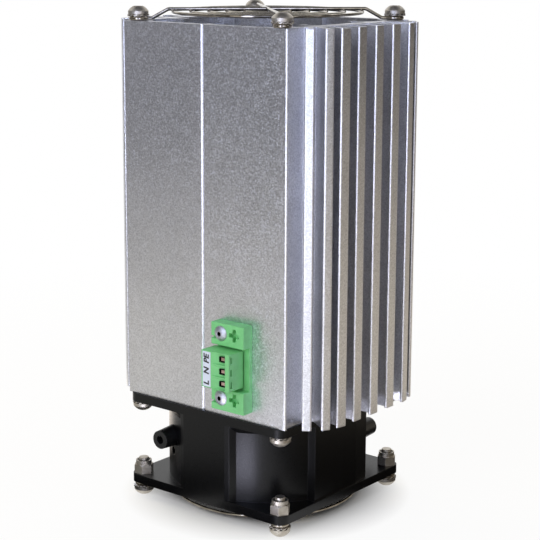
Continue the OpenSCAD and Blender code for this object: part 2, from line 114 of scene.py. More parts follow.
def placeCamera(cfg):
    data = bpy.data.cameras.new("photoCamera")
    data.lens = cfg["lens"]
    data.sensor_width = cfg["sensor"]
    data.shift_y = cfg["shiftY"]
    data.clip_start = cfg["near"]
    data.dof.use_dof = False
    camera = bpy.data.objects.new("photoCamera", data)
    scene.collection.objects.link(camera)
    turn = Matrix.Rotation(math.radians(cfg["turn"]), 4, "Z")
    tilt = Matrix.Rotation(math.radians(90 - cfg["tilt"]), 4, "X")
    roll = Matrix.Rotation(math.radians(cfg["roll"]), 4, "Z")
    camera.matrix_world = Matrix.Translation(cfg["eye"]) @ turn @ tilt @ roll
    scene.camera = camera


placeCamera(cameraSet)

# Extruded aluminium, blasted and anodised: a satin grey full of fine light and dark grains,
# with long faint die lines and brighter sawn ends
alloySet = {
    "grainDark": "#d0d0d3", "grainLight": "#f5f5f7", "sawn": "#e4e4ea",
    "grit": 0.45, "gritRough": 0.62,  # the real grit is finer, this is as coarse as the render can show
    "cloud": 22,
    "toneShares": (0.55, 0.3, 0.16),  # of the grit, single grains and clouds
    "toneRange": (0.3, 0.72),
    "dieLine": 0.5, "dieStretch": 0.012, "dieShare": 0.25,
    "sawLine": 0.35, "sawStretch": 0.03, "sawTurn": 0.2,
    "cutEnd": (0.9, 0.98),  # how squarely a face looks up or down before it is a sawn end
    "rough": (0.27, 0.38), "roughRange": (0.25, 0.75),
    "speck": 0.18, "speckRange": (0.72, 0.9),  # rough single grains that catch light from all round
    "edge": 0.35, "relief": 1.0, "depth": 0.04,
}


def anodisedAluminium(cfg):
    material, tree, shader, place = startMaterial("anodisedAluminium")
    here = place["Object"]
    grit = put(tree, "ShaderNodeTexNoise",
               {"Scale": perMetre(cfg["grit"]), "Detail": 3, "Roughness": cfg["gritRough"]},
               {"Vector": here}).outputs["Fac"]
    cell = put(tree, "ShaderNodeTexVoronoi", {"Scale": perMetre(cfg["grit"])},
               {"Vector": here}).outputs["Color"]
    sparkle = put(tree, "ShaderNodeSeparateColor", links={"Color": cell}).outputs["Red"]
    cloud = put(tree, "ShaderNodeTexNoise", {"Scale": perMetre(cfg["cloud"]), "Detail": 2},
                {"Vector": here}).outputs["Fac"]
    along = put(tree, "ShaderNodeMapping", {"Scale": (1, 1, cfg["dieStretch"])},
                {"Vector": here}).outputs["Vector"]
    dieLine = put(tree, "ShaderNodeTexNoise", {"Scale": perMetre(cfg["dieLine"]), "Detail": 1},
                  {"Vector": along}).outputs["Fac"]
    gritShare, sparkleShare, cloudShare = cfg["toneShares"]
    tone = put(tree, "ShaderNodeMath", {1: gritShare}, {0: grit}, operation="MULTIPLY").outputs[0]
    for source, share in ((sparkle, sparkleShare), (cloud, cloudShare)):
        tone = put(tree, "ShaderNodeMath", {1: share}, {0: source, 2: tone},
                   operation="MULTIPLY_ADD").outputs[0]
    grain = put(tree, "ShaderNodeMapRange", {1: cfg["toneRange"][0], 2: cfg["toneRange"][1]},
                {0: tone}).outputs[0]
    skin = put(tree, "ShaderNodeMix", {6: linear(cfg["grainDark"]), 7: linear(cfg["grainLight"])},
               {0: grain}, data_type="RGBA").outputs[2]
    # sawn ends: faces that look up or down, with straight saw lines
    facing = put(tree, "ShaderNodeSeparateXYZ", links={"Vector": place["Normal"]}).outputs["Z"]
    facing = put(tree, "ShaderNodeMath", links={0: facing}, operation="ABSOLUTE").outputs[0]
    cutEnd = put(tree, "ShaderNodeMapRange", {1: cfg["cutEnd"][0], 2: cfg["cutEnd"][1]},
                 {0: facing}).outputs[0]
    across = put(tree, "ShaderNodeMapping",
                 {"Scale": (cfg["sawStretch"], 1, 1), "Rotation": (0, 0, cfg["sawTurn"])},
                 {"Vector": here}).outputs["Vector"]
    sawLine = put(tree, "ShaderNodeTexNoise", {"Scale": perMetre(cfg["sawLine"]), "Detail": 2},
                  {"Vector": across}).outputs["Fac"]
    colour = put(tree, "ShaderNodeMix", {7: linear(cfg["sawn"])}, {0: cutEnd, 6: skin},
                 data_type="RGBA").outputs[2]
    # roughness follows the grit, and single grains stand out
    low, high = cfg["roughRange"]
    rough = put(tree, "ShaderNodeMapRange", {1: low, 2: high, 3: cfg["rough"][0], 4: cfg["rough"][1]},
                {0: grit}).outputs[0]
    speck = put(tree, "ShaderNodeMapRange", {1: cfg["speckRange"][0], 2: cfg["speckRange"][1]},
                {0: sparkle}).outputs[0]
    rough = put(tree, "ShaderNodeMath", {1: cfg["speck"]}, {0: speck, 2: rough},
                operation="MULTIPLY_ADD").outputs[0]
    height = put(tree, "ShaderNodeMath", {1: cfg["dieShare"]}, {0: dieLine, 2: grit},
                 operation="MULTIPLY_ADD").outputs[0]
    height = put(tree, "ShaderNodeMix", links={0: cutEnd, 2: height, 3: sawLine}).outputs[0]
    shader.inputs["Metallic"].default_value = 1
    finishSkin(tree, shader, colour, rough, height, cfg)
    return material


# Die-cast metal under black baked enamel: satin black with the soft dimples of the coat and faint grey specks
enamelSet = {
    "coat": "#050506", "thin": "#0c0c0e",
    "dimple": 0.9, "dust": 0.35, "dustRough": 0.7, "dustRange": (0.5, 0.75),
    "rough": (0.26, 0.36), "gloss": 0.3,
    "edge": 0.3, "relief": 0.16, "depth": 0.05,
}


def blackEnamel(cfg):
    material, tree, shader, place = startMaterial("blackEnamel")
    here = place["Object"]
    dimple = put(tree, "ShaderNodeTexNoise", {"Scale": perMetre(cfg["dimple"]), "Detail": 2},
                 {"Vector": here}).outputs["Fac"]
    dust = put(tree, "ShaderNodeTexNoise",
               {"Scale": perMetre(cfg["dust"]), "Detail": 3, "Roughness": cfg["dustRough"]},
               {"Vector": here}).outputs["Fac"]
    dustSpots = put(tree, "ShaderNodeMapRange", {1: cfg["dustRange"][0], 2: cfg["dustRange"][1]},
                    {0: dust}).outputs[0]
    colour = put(tree, "ShaderNodeMix", {6: linear(cfg["coat"]), 7: linear(cfg["thin"])},
                 {0: dustSpots}, data_type="RGBA").outputs[2]
    rough = put(tree, "ShaderNodeMapRange",
                {1: noiseSpan[0], 2: noiseSpan[1], 3: cfg["rough"][0], 4: cfg["rough"][1]},
                {0: dust}).outputs[0]
    shader.inputs["Specular IOR Level"].default_value = cfg["gloss"]
    finishSkin(tree, shader, colour, rough, dimple, cfg)
    return material


# Metals of the small parts: plated, drawn, rolled or tinned, each with its own grain
metalShared = {"spotTimes": 6, "spotRange": (0.35, 0.68), "edge": 0.15, "depth": 0.03}  # spots of six grains
metalSets = {
    "chromedWire": {"pale": "#bdb5a8", "deep": "#8f877a",
                    "grain": 0.5, "rough": (0.04, 0.11), "relief": 0.02},
    "nickelPlate": {"pale": "#d2ccc1", "deep": "#b3ab9e",
                    "grain": 0.6, "rough": (0.38, 0.48), "relief": 0.05},
    "tinnedBrass": {"pale": "#d6cfc8", "deep": "#b6aaa2",
                    "grain": 0.4, "rough": (0.26, 0.4), "relief": 0.08},
    "rolledAluminium": {"pale": "#d6d6d4", "deep": "#bcbcba",
                        "grain": 0.8, "rough": (0.28, 0.42), "relief": 0.1},
    "turnedSteel": {"pale": "#bdbab3", "deep": "#9b978f",
                    "grain": 0.5, "rough": (0.24, 0.38), "relief": 0.1},
    "zincPlate": {"pale": "#cfcfd3", "deep": "#b9b9be",
                  "grain": 0.5, "rough": (0.5, 0.6), "relief": 0.12},
    # a dark steel that paints shade: the screw sockets and the wire-entry sleeves take it
    "paintedShadeSteel": {"pale": "#2b2927", "deep": "#141312",
                       "grain": 0.4, "rough": (0.4, 0.6), "relief": 0.1},
    "copperedSteel": {"pale": "#e0c4ba", "deep": "#b99a90",
                      "grain": 0.4, "rough": (0.25, 0.4), "relief": 0.1},
    "enamelledCopper": {"pale": "#bd7a45", "deep": "#93562a",
                        "grain": 0.45, "rough": (0.24, 0.36), "relief": 0.2},
}


def platedMetal(name, cfg):  # a bright skin, a little duller and darker from spot to spot
    material, tree, shader, place = startMaterial(name)
    here = place["Object"]
    spot = put(tree, "ShaderNodeTexNoise", {"Scale": perMetre(cfg["grain"] * cfg["spotTimes"]), "Detail": 3},
               {"Vector": here}).outputs["Fac"]
    grain = put(tree, "ShaderNodeTexNoise", {"Scale": perMetre(cfg["grain"]), "Detail": 2},
                {"Vector": here}).outputs["Fac"]
    patch = put(tree, "ShaderNodeMapRange", {1: cfg["spotRange"][0], 2: cfg["spotRange"][1]},
                {0: spot}).outputs[0]
    colour = put(tree, "ShaderNodeMix", {6: linear(cfg["deep"]), 7: linear(cfg["pale"])},
                 {0: patch}, data_type="RGBA").outputs[2]
    rough = put(tree, "ShaderNodeMapRange",
                {1: noiseSpan[0], 2: noiseSpan[1], 3: cfg["rough"][0], 4: cfg["rough"][1]},
                {0: grain}).outputs[0]
    shader.inputs["Metallic"].default_value = 1
    finishSkin(tree, shader, colour, rough, grain, cfg)
    return material


# Plastics, rubber and ceramic: moulded or pressed, matt to satin with a fine mould grain
mouldedShared = {"flowTimes": 14, "grainRough": 0.6, "grainShare": 0.5, "toneRange": (0.5, 1),
                 "edge": 0.12, "depth": 0.04}
mouldedSets = {
    "greenPolyamide": {"pale": "#7ccf88", "deep": "#6fc07c",
                       "grain": 0.3, "rough": (0.36, 0.5), "relief": 0.12},
    "paleStrip": {"pale": "#d6dff0", "deep": "#c8d2e6",
                  "grain": 0.4, "rough": (0.4, 0.52), "relief": 0.06},
    "blackPrint": {"pale": "#26272b", "deep": "#18191c",
                   "grain": 0.25, "rough": (0.45, 0.6), "relief": 0.06},
    "blackRubber": {"pale": "#0f0f10", "deep": "#080809",
                    "grain": 0.5, "rough": (0.32, 0.46), "relief": 0.1},
    # the locknuts' inserts, dark all over
    "darkNylon": {"pale": "#3c3a36", "deep": "#2a2825",
                  "grain": 0.4, "rough": (0.38, 0.5), "relief": 0.1},
    "heatingCeramic": {"pale": "#645f5a", "deep": "#4e4a46",
                       "grain": 0.35, "rough": (0.6, 0.75), "relief": 0.3},
}


def mouldedSurface(name, cfg):  # one colour that drifts with the flow of the melt, under a fine grain
    material, tree, shader, place = startMaterial(name)
    here = place["Object"]
    flow = put(tree, "ShaderNodeTexNoise", {"Scale": perMetre(cfg["grain"] * cfg["flowTimes"]), "Detail": 2},
               {"Vector": here}).outputs["Fac"]
    grain = put(tree, "ShaderNodeTexNoise",
                {"Scale": perMetre(cfg["grain"]), "Detail": 2, "Roughness": cfg["grainRough"]},
                {"Vector": here}).outputs["Fac"]
    mixed = put(tree, "ShaderNodeMath", {1: cfg["grainShare"]}, {0: grain, 2: flow},
                operation="MULTIPLY_ADD").outputs[0]
    shade = put(tree, "ShaderNodeMapRange", {1: cfg["toneRange"][0], 2: cfg["toneRange"][1]},
                {0: mixed}).outputs[0]
    colour = put(tree, "ShaderNodeMix", {6: linear(cfg["deep"]), 7: linear(cfg["pale"])},
                 {0: shade}, data_type="RGBA").outputs[2]
    rough = put(tree, "ShaderNodeMapRange",
                {1: noiseSpan[0], 2: noiseSpan[1], 3: cfg["rough"][0], 4: cfg["rough"][1]},
                {0: grain}).outputs[0]
    finishSkin(tree, shader, colour, rough, grain, cfg)
    return material


finishes = {"anodisedAluminium": anodisedAluminium(alloySet), "blackEnamel": blackEnamel(enamelSet)}
for name, cfg in metalSets.items():
    finishes[name] = platedMetal(name, {**metalShared, **cfg})
for name, cfg in mouldedSets.items():
    finishes[name] = mouldedSurface(name, {**mouldedShared, **cfg})

slotFinish = {
    "anodised_aluminium": "anodisedAluminium",
    "plain_aluminium": "rolledAluminium",
    "heating_ceramic": "heatingCeramic",
    "black_enamel": "blackEnamel",
    "steel": "turnedSteel",
    "copper": "enamelledCopper",
    "black_rubber": "blackRubber",
    "chromed_wire": "chromedWire",
    "green_plastic": "greenPolyamide",
    "tinned_brass": "tinnedBrass",
    "pale_plastic": "paleStrip",
    "nickel_plate": "nickelPlate",
    "nylon": "darkNylon",
}
for part in frame["record"]["subparts"]:
    for materialSlot in nodes[part["node"]].material_slots:
        materialSlot.material = finishes[slotFinish[part["material_slot"]]]
print("finishes:", len(finishes))


def addPiece(name, mesh, finish, body, stands=()):  # a finished mesh joins the object
    if finish and not mesh.materials:
        mesh.materials.append(finishes[finish])
    piece = bpy.data.objects.new(name, mesh)
    scene.collection.objects.link(piece)
    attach(piece, body)
    if stands:
        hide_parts(*stands)
    return piece


def startTree(name, sizes):  # empty Geometry Nodes tree with one named input per size
    tree = bpy.data.node_groups.new(name, "GeometryNodeTree")
    tree.interface.new_socket("Geometry", in_out="OUTPUT", socket_type="NodeSocketGeometry")
    for label, value in sizes.items():
        kind = "Int" if isinstance(value, int) else "Float" if isinstance(value, float) else "Material"
        tree.interface.new_socket(label, in_out="INPUT", socket_type="NodeSocket" + kind)
    return tree, put(tree, "NodeGroupInput").outputs


def endTree(tree, shapes, material):
    joined = put(tree, "GeometryNodeJoinGeometry", links={"Geometry": shapes}).outputs[0]
    solid = put(tree, "GeometryNodeRealizeInstances", links={"Geometry": joined}).outputs[0]
    dressed = put(tree, "GeometryNodeSetMaterial", links={"Geometry": solid, "Material": material}).outputs[0]
    put(tree, "NodeGroupOutput", links={"Geometry": dressed})


def growMesh(name, tree, sizes):  # runs the tree once and keeps a plain mesh
    holder = bpy.data.objects.new(name + "Holder", bpy.data.meshes.new(name + "Holder"))
    scene.collection.objects.link(holder)
    modifier = holder.modifiers.new("grow", "NODES")
    modifier.node_group = tree
    for socket in tree.interface.items_tree:
        if socket.in_out == "INPUT":
            modifier[socket.identifier] = sizes[socket.name]
    ready = holder.evaluated_get(bpy.context.evaluated_depsgraph_get())
    mesh = bpy.data.meshes.new_from_object(ready)
    mesh.name = name
    holder.modifiers.clear()
    bpy.data.objects.remove(holder)
    return mesh


def keepMesh(name, shape, *skins):  # the bmesh as a plain mesh with its finishes
    mesh = bpy.data.meshes.new(name)
    shape.to_mesh(mesh)
    shape.free()
    for skin in skins:
        mesh.materials.append(skin)
    return mesh


# Screw holes of the fan and the shells, on a square round the axis
holeAt = 35.75
holeReach = holeAt * math.sqrt(2)


def cornerPoints(tree, reach):  # one point at each of the four screw holes
    square = put(tree, "GeometryNodeMeshCircle", {"Vertices": 4}, {"Radius": reach}).outputs[0]
    return put(tree, "GeometryNodeTransform", {"Rotation": (0, 0, math.radians(45))}, {"Geometry": square})


def wireSection(tree, wide, sides):  # round section of a wire of that diameter
    half = put(tree, "ShaderNodeMath", {1: 0.5}, {0: wide}, operation="MULTIPLY").outputs[0]
    return put(tree, "GeometryNodeCurvePrimitiveCircle", {"Resolution": sides}, {"Radius": half}).outputs[0]


# Wire guards: rings welded under two crossing rods that bend down to screw eyes
guardSet = {
    "ringCount": 5, "outerRing": 37.2, "innerRing": 9.1,
    "ringWire": 1.2, "rodWire": 1.4, "eyeWire": 1.5,
    "rise": 4.3, "slope": 29, "weldSink": 0.25,
    "kneeGap": 5.2, "eyeRadius": 2.9,
    "bendRadius": 2.2, "weldLong": 1.1, "weldWide": 0.62,
}


def guardTree(sizes):
    tree, given = startTree("wireGuard", sizes)
    ringSteps, eyeSteps, bendSteps = 96, 40, 7
    thinSides, thickSides = 12, 16
    rodStops = 6  # foot, knee and bend on either side
    index = put(tree, "GeometryNodeInputIndex").outputs[0]
    # rings: unit circles on one line of points, each scaled to its radius
    gap = put(tree, "ShaderNodeMath", links={0: given["Outer Ring"], 1: given["Inner Ring"]},
              operation="SUBTRACT").outputs[0]
    last = put(tree, "ShaderNodeMath", {1: 1}, {0: given["Ring Count"]}, operation="SUBTRACT").outputs[0]
    step = put(tree, "ShaderNodeMath", links={0: gap, 1: last}, operation="DIVIDE").outputs[0]
    ringRadius = put(tree, "ShaderNodeMath", links={0: index, 1: step, 2: given["Inner Ring"]},
                     operation="MULTIPLY_ADD").outputs[0]
    ringPoints = put(tree, "GeometryNodePoints", links={"Count": given["Ring Count"]}).outputs[0]
    circle = put(tree, "GeometryNodeCurvePrimitiveCircle",
                 {"Resolution": ringSteps, "Radius": 1.0}).outputs[0]
    scale = put(tree, "ShaderNodeCombineXYZ", {2: 1.0}, {0: ringRadius, 1: ringRadius}).outputs[0]
    rings = put(tree, "GeometryNodeInstanceOnPoints",
                links={"Points": ringPoints, "Instance": circle, "Scale": scale}).outputs[0]
    rings = put(tree, "GeometryNodeRealizeInstances", links={"Geometry": rings}).outputs[0]
    rings = put(tree, "GeometryNodeSetCurveRadius", {"Radius": 1.0}, {"Curve": rings}).outputs[0]
    ringSection = wireSection(tree, given["Ring Wire"], thinSides)
    rings = put(tree, "GeometryNodeCurveToMesh",
                links={"Curve": rings, "Profile Curve": ringSection}).outputs[0]
    ringPlace = put(tree, "ShaderNodeCombineXYZ", links={2: given["Ring Level"]}).outputs[0]
    rings = put(tree, "GeometryNodeTransform", links={"Geometry": rings, "Translation": ringPlace}).outputs[0]
    # one rod: each stop's reach and level, counted from the nearer end, with rounded bends
    fromEnd = put(tree, "ShaderNodeMath", {0: rodStops - 1}, {1: index}, operation="SUBTRACT").outputs[0]
    station = put(tree, "ShaderNodeMath", links={0: index, 1: fromEnd}, operation="MINIMUM").outputs[0]
    side = put(tree, "ShaderNodeMath", {1: (rodStops - 1) / 2}, {0: index}, operation="SUBTRACT").outputs[0]
    side = put(tree, "ShaderNodeMath", links={0: side}, operation="SIGN").outputs[0]
    reach = put(tree, "GeometryNodeIndexSwitch", data_type="FLOAT")
    level = put(tree, "GeometryNodeIndexSwitch", data_type="FLOAT")
    for switch, labels in ((reach, ("Foot Reach", "Knee Reach", "Bend Reach")),
                           (level, ("Foot Level", "Foot Level", "Rod Level"))):
        switch.index_switch_items.new()
        tree.links.new(station, switch.inputs[0])
        for place, label in enumerate(labels):
            tree.links.new(given[label], switch.inputs[place + 1])
    rodX = put(tree, "ShaderNodeMath", links={0: reach.outputs[0], 1: side}, operation="MULTIPLY").outputs[0]
    rodPoint = put(tree, "ShaderNodeCombineXYZ", links={0: rodX, 2: level.outputs[0]}).outputs[0]
    line = put(tree, "GeometryNodeMeshLine", {"Count": rodStops}).outputs[0]
    line = put(tree, "GeometryNodeSetPosition", links={"Geometry": line, "Position": rodPoint}).outputs[0]
    rod = put(tree, "GeometryNodeMeshToCurve", links={"Mesh": line}).outputs[0]
    rod = put(tree, "GeometryNodeFilletCurve", {"Count": bendSteps, "Limit Radius": True},
              {"Curve": rod, "Radius": given["Bend Radius"]}, mode="POLY").outputs[0]
    rodSection = wireSection(tree, given["Rod Wire"], thickSides)
    rod = put(tree, "GeometryNodeCurveToMesh", {"Fill Caps": True},
              {"Curve": rod, "Profile Curve": rodSection}).outputs[0]
    rods = [put(tree, "GeometryNodeTransform", {"Rotation": (0, 0, math.radians(turn))},
                {"Geometry": rod}).outputs[0] for turn in (45, 135)]
    # screw eyes at the four corners
    eyeSection = wireSection(tree, given["Eye Wire"], thickSides)
    eyeLoop = put(tree, "GeometryNodeCurvePrimitiveCircle", {"Resolution": eyeSteps},
                  {"Radius": given["Eye Radius"]}).outputs[0]
    eye = put(tree, "GeometryNodeCurveToMesh",
              links={"Curve": eyeLoop, "Profile Curve": eyeSection}).outputs[0]
    corners = cornerPoints(tree, given["Hole Reach"])
    cornerLift = put(tree, "ShaderNodeCombineXYZ", links={2: given["Eye Level"]}).outputs[0]
    tree.links.new(cornerLift, corners.inputs["Translation"])
    eyes = put(tree, "GeometryNodeInstanceOnPoints",
               links={"Points": corners.outputs[0], "Instance": eye}).outputs[0]
    # weld beads where each ring meets the rods
    beadPoint = put(tree, "ShaderNodeCombineXYZ", links={0: ringRadius, 2: given["Weld Level"]}).outputs[0]
    beadLine = put(tree, "GeometryNodePoints",
                   links={"Count": given["Ring Count"], "Position": beadPoint}).outputs[0]
    bead = put(tree, "GeometryNodeMeshUVSphere", {"Segments": 12, "Rings": 8, "Radius": 1.0}).outputs[0]
    beadScale = put(tree, "ShaderNodeCombineXYZ",
                    links={0: given["Weld Wide"], 1: given["Weld Long"], 2: given["Weld Wide"]}).outputs[0]
    beads = put(tree, "GeometryNodeInstanceOnPoints",
                links={"Points": beadLine, "Instance": bead, "Scale": beadScale}).outputs[0]
    armPoints = put(tree, "GeometryNodePoints", {"Count": 4}).outputs[0]
    armTurn = put(tree, "ShaderNodeMath", {1: math.radians(90), 2: math.radians(45)}, {0: index},
                  operation="MULTIPLY_ADD").outputs[0]
    armTurn = put(tree, "ShaderNodeCombineXYZ", links={2: armTurn}).outputs[0]
    welds = put(tree, "GeometryNodeInstanceOnPoints",
                links={"Points": armPoints, "Instance": beads, "Rotation": armTurn}).outputs[0]
    shapes = put(tree, "GeometryNodeJoinGeometry", links={"Geometry": rods + [rings, eyes, welds]}).outputs[0]
    shapes = put(tree, "GeometryNodeSetShadeSmooth", links={0: shapes}).outputs[0]
    endTree(tree, [shapes], given["Material"])
    return tree


def makeGuards(cfg):
    footLevel = cfg["eyeWire"] / 2
    kneeReach = holeReach - cfg["kneeGap"]
    ringLevel = cfg["rise"] - (cfg["rodWire"] + cfg["ringWire"]) / 2 + cfg["weldSink"]
    sizes = {
        "Ring Count": cfg["ringCount"],
        "Outer Ring": cfg["outerRing"] * mm,
        "Inner Ring": cfg["innerRing"] * mm,
        "Ring Wire": cfg["ringWire"] * mm,
        "Rod Wire": cfg["rodWire"] * mm,
        "Eye Wire": cfg["eyeWire"] * mm,
        "Rod Level": cfg["rise"] * mm,
        "Ring Level": ringLevel * mm,
        "Foot Level": footLevel * mm,
        "Eye Level": footLevel * mm,
        "Weld Level": (cfg["rise"] + ringLevel) / 2 * mm,
        "Hole Reach": holeReach * mm,
        "Foot Reach": (holeReach - cfg["eyeRadius"]) * mm,
        "Knee Reach": kneeReach * mm,
        "Bend Reach": (kneeReach - (cfg["rise"] - footLevel) / math.tan(math.radians(cfg["slope"]))) * mm,
        "Bend Radius": cfg["bendRadius"] * mm,
        "Eye Radius": cfg["eyeRadius"] * mm,
        "Weld Long": cfg["weldLong"] / 2 * mm,
        "Weld Wide": cfg["weldWide"] / 2 * mm,
        "Material": finishes["chromedWire"],
    }
    tree = guardTree(sizes)
    upper = growMesh("topGuardWire", tree, sizes)
    lower = upper.copy()
    lower.name = "bottomGuardWire"
    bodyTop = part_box("top_guard")[0][2]
    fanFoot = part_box("bottom_guard")[1][2]
    upper.transform(Matrix.Translation((0, 0, bodyTop)))
    lower.transform(Matrix.Translation((0, 0, fanFoot)) @ Matrix.Rotation(math.pi, 4, "X"))
    addPiece("topGuardWire", upper, None, "heater", ["top_guard"])
    addPiece("bottomGuardWire", lower, None, "heater", ["bottom_guard"])
    print("guards:", len(upper.polygons), "faces each")


makeGuards(guardSet)

# Toothed lock washers: a flat ring with teeth twisted out of its plane
washerSet = {
    "teeth": 12, "outer": 4.2, "bore": 2.1, "ringOuter": 3.45, "sheet": 0.5,
    "toothWide": 1.25, "toothSheet": 0.45, "toothRoot": 0.2, "twist": 22,
}


def washerTree(sizes):
    tree, given = startTree("lockWashers", sizes)
    ringSteps = 48
    section = put(tree, "GeometryNodeCurvePrimitiveQuadrilateral",
                  links={"Width": given["Ring Wide"], "Height": given["Sheet"]}).outputs[0]
    loop = put(tree, "GeometryNodeCurvePrimitiveCircle", {"Resolution": ringSteps},
               {"Radius": given["Ring Middle"]}).outputs[0]
    ring = put(tree, "GeometryNodeCurveToMesh", links={"Curve": loop, "Profile Curve": section}).outputs[0]
    toothSize = put(tree, "ShaderNodeCombineXYZ", links={
        0: given["Tooth Long"], 1: given["Tooth Wide"], 2: given["Tooth Sheet"]}).outputs[0]
    tooth = put(tree, "GeometryNodeMeshCube", links={"Size": toothSize}).outputs[0]
    index = put(tree, "GeometryNodeInputIndex").outputs[0]
    step = put(tree, "ShaderNodeMath", {0: math.tau}, {1: given["Teeth"]}, operation="DIVIDE").outputs[0]
    turn = put(tree, "ShaderNodeMath", links={0: index, 1: step}, operation="MULTIPLY").outputs[0]
    turn = put(tree, "ShaderNodeCombineXYZ", links={0: given["Twist"], 2: turn}).outputs[0]
    toothRow = put(tree, "GeometryNodeMeshCircle",
                   links={"Vertices": given["Teeth"], "Radius": given["Tooth Middle"]}).outputs[0]
    teeth = put(tree, "GeometryNodeInstanceOnPoints",
                links={"Points": toothRow, "Instance": tooth, "Rotation": turn}).outputs[0]
    washer = put(tree, "GeometryNodeJoinGeometry", links={"Geometry": [ring, teeth]}).outputs[0]
    corners = cornerPoints(tree, given["Hole Reach"]).outputs[0]
    washers = put(tree, "GeometryNodeInstanceOnPoints",
                  links={"Points": corners, "Instance": washer}).outputs[0]
    endTree(tree, [washers], given["Material"])
    return tree


def makeWashers(cfg):
    toothFrom = cfg["ringOuter"] - cfg["toothRoot"]
    sizes = {
        "Teeth": cfg["teeth"],
        "Ring Wide": (cfg["ringOuter"] - cfg["bore"]) * mm,
        "Ring Middle": (cfg["ringOuter"] + cfg["bore"]) / 2 * mm,
        "Sheet": cfg["sheet"] * mm,
        "Tooth Long": (cfg["outer"] - toothFrom) * mm,
        "Tooth Middle": (cfg["outer"] + toothFrom) / 2 * mm,
        "Tooth Wide": cfg["toothWide"] * mm,
        "Tooth Sheet": cfg["toothSheet"] * mm,
        "Twist": math.radians(cfg["twist"]),
        "Hole Reach": holeReach * mm,
        "Material": finishes["nickelPlate"],
    }
    mesh = growMesh("washers", washerTree(sizes), sizes)
    for name, node in (("topWashers", "top_lock_washers"), ("fanWashers", "fan_lock_washers"),
                       ("bottomWashers", "bottom_lock_washers")):
        row = mesh.copy()
        row.name = name
        low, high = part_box(node)
        row.transform(Matrix.Translation((0, 0, (low[2] + high[2]) / 2)))
        addPiece(name, row, None, "heater", [node])
    print("lock washers:", len(mesh.polygons), "faces a row")


makeWashers(washerSet)

# Thread that shows on the bolt ends above the locknuts
threadSet = {"pitch": 0.7, "core": 1.93, "ridge": 0.16, "from": 14.5, "to": 15.4}


def threadTree(sizes):
    tree, given = startTree("boltThreads", sizes)
    turnSteps, ridgeSides = 40, 6
    path = put(tree, "GeometryNodeCurveSpiral", {"Resolution": turnSteps},
               {"Rotations": given["Turns"], "Start Radius": given["Core"], "End Radius": given["Core"],
                "Height": given["Rise"]}).outputs[0]
    section = put(tree, "GeometryNodeCurvePrimitiveCircle", {"Resolution": ridgeSides},
                  {"Radius": given["Ridge"]}).outputs[0]
    thread = put(tree, "GeometryNodeCurveToMesh", {"Fill Caps": True},
                 {"Curve": path, "Profile Curve": section}).outputs[0]
    corners = cornerPoints(tree, given["Hole Reach"]).outputs[0]
    threads = put(tree, "GeometryNodeInstanceOnPoints",
                  links={"Points": corners, "Instance": thread}).outputs[0]
    endTree(tree, [threads], given["Material"])
    return tree


def makeThreads(cfg):
    rise = cfg["to"] - cfg["from"] - cfg["ridge"]
    sizes = {
        "Turns": rise / cfg["pitch"],
        "Core": cfg["core"] * mm,
        "Ridge": cfg["ridge"] * mm,
        "Rise": rise * mm,
        "Hole Reach": holeReach * mm,
        "Material": finishes["nickelPlate"],
    }
    mesh = growMesh("boltThreads", threadTree(sizes), sizes)
    mesh.transform(Matrix.Translation((0, 0, (cfg["from"] + cfg["ridge"] / 2) * mm)))
    addPiece("boltThreads", mesh, None, "heater")
    print("bolt threads:", len(mesh.polygons), "faces")


makeThreads(threadSet)

# Green mouldings of the terminal: the CAD shapes with their long edges rounded off
mouldingSet = {
    "merge": 0.002, "flat": 1, "sharp": 40, "segments": 3,
    "copies": {
        "terminal_header": {"piece": "terminalHeader", "round": 0.3, "shortest": 1.6},
        "terminal_plug": {"piece": "terminalPlug", "round": 0.16, "shortest": 1.2},
    },
}


def roundedCopy(node, copy, cfg):
    shape = bmesh.new()
    shape.from_mesh(nodes[node].data)
    bmesh.ops.remove_doubles(shape, verts=shape.verts, dist=cfg["merge"] * mm)
    bmesh.ops.dissolve_limit(shape, angle_limit=math.radians(cfg["flat"]),
                             verts=shape.verts, edges=shape.edges)
    sharp = [edge for edge in shape.edges if len(edge.link_faces) == 2
             and edge.calc_length() > copy["shortest"] * mm
             and edge.calc_face_angle_signed(0) > math.radians(cfg["sharp"])]
    bmesh.ops.bevel(shape, geom=sharp, offset=copy["round"] * mm, offset_type="OFFSET",
                    segments=cfg["segments"], profile=0.5, affect="EDGES", clamp_overlap=False)
    bmesh.ops.triangulate(shape, faces=[face for face in shape.faces if len(face.verts) > 4])
    mesh = keepMesh(copy["piece"], shape)
    addPiece(copy["piece"], mesh, "greenPolyamide", "heater", [node])
    print(copy["piece"] + ":", len(sharp), "edges rounded")


for node, copy in mouldingSet["copies"].items():
    roundedCopy(node, copy, mouldingSet)

# Round heads of the header's screws, each with a hexagon socket whose walls and bottom are painted dark as
# shade
headSet = {
    "radius": 3, "rise": 1.5, "skirt": 0.25,
    "socket": 0.95, "depth": 1.3, "lip": 0.2,
    "mouthDrop": 0.05, "tipDrop": 0.1, "tipShare": 0.6,  # edge of the socket and its drilled bottom
    "steps": 24, "rings": 7,
}


def socketEdge(radius, turn):  # distance of a hexagon's edge from its middle
    half = math.pi / 6
    return radius * math.cos(half) / math.cos((turn + half) % (math.pi / 3) - half)


